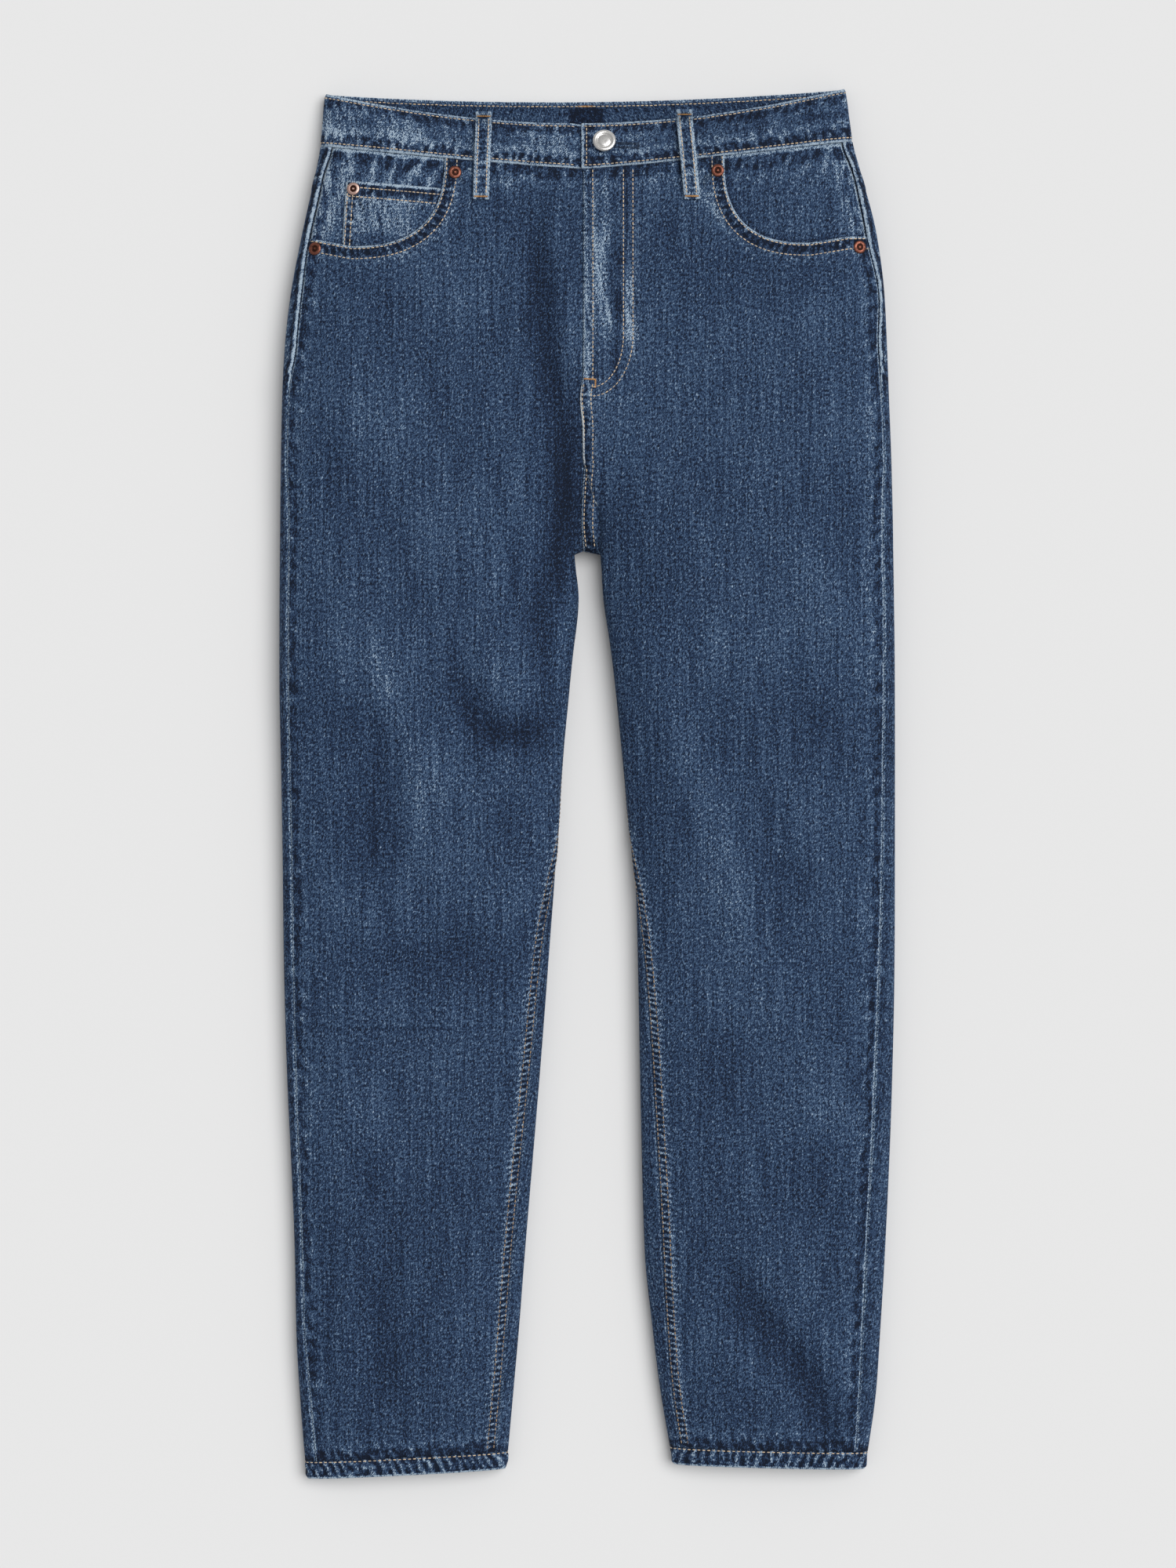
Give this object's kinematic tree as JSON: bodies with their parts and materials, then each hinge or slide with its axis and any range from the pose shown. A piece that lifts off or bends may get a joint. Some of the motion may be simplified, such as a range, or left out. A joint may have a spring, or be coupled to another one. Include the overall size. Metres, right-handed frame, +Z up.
{
  "type": "jeans",
  "caption": "High-waisted straight tapered denim jeans laid flat with the front up, with scooped front pockets, a coin pocket, belt loops and a shank button at the fly.",
  "frame": {"origin": "middle of the garment's underside, where it lies on the surface", "axes": "+Z up from the surface, +Y along the garment towards the waist, +X across it towards the wearer's left"},
  "size_m": [0.4479, 1.0127, 0.0355],
  "materials": {
    "denim": "mid blue washed denim twill",
    "zip_tape": "dark woven tape",
    "copper": "copper plated, brushed",
    "nickel": "satin nickel plate"
  },
  "bodies": {
    "root": {"front_right": "denim", "front_left": "denim", "back_right": "denim", "back_left": "denim", "yoke_right": "denim", "yoke_left": "denim", "waistband_right": "denim", "waistband_left": "denim", "facing_right": "denim", "facing_left": "denim", "coin_pocket": "denim", "back_pocket_right": "denim", "back_pocket_left": "denim", "hem_right": "denim", "hem_left": "denim", "loop_front_right": "denim", "loop_front_left": "denim", "loop_back_right": "denim", "loop_back_centre": "denim", "loop_back_left": "denim", "fly_shield": "denim", "fly_zip": "zip_tape", "button": "nickel", "rivet_1": "copper", "rivet_2": "copper", "rivet_3": "copper", "rivet_4": "copper", "rivet_5": "copper"}
  },
  "joints": []
}
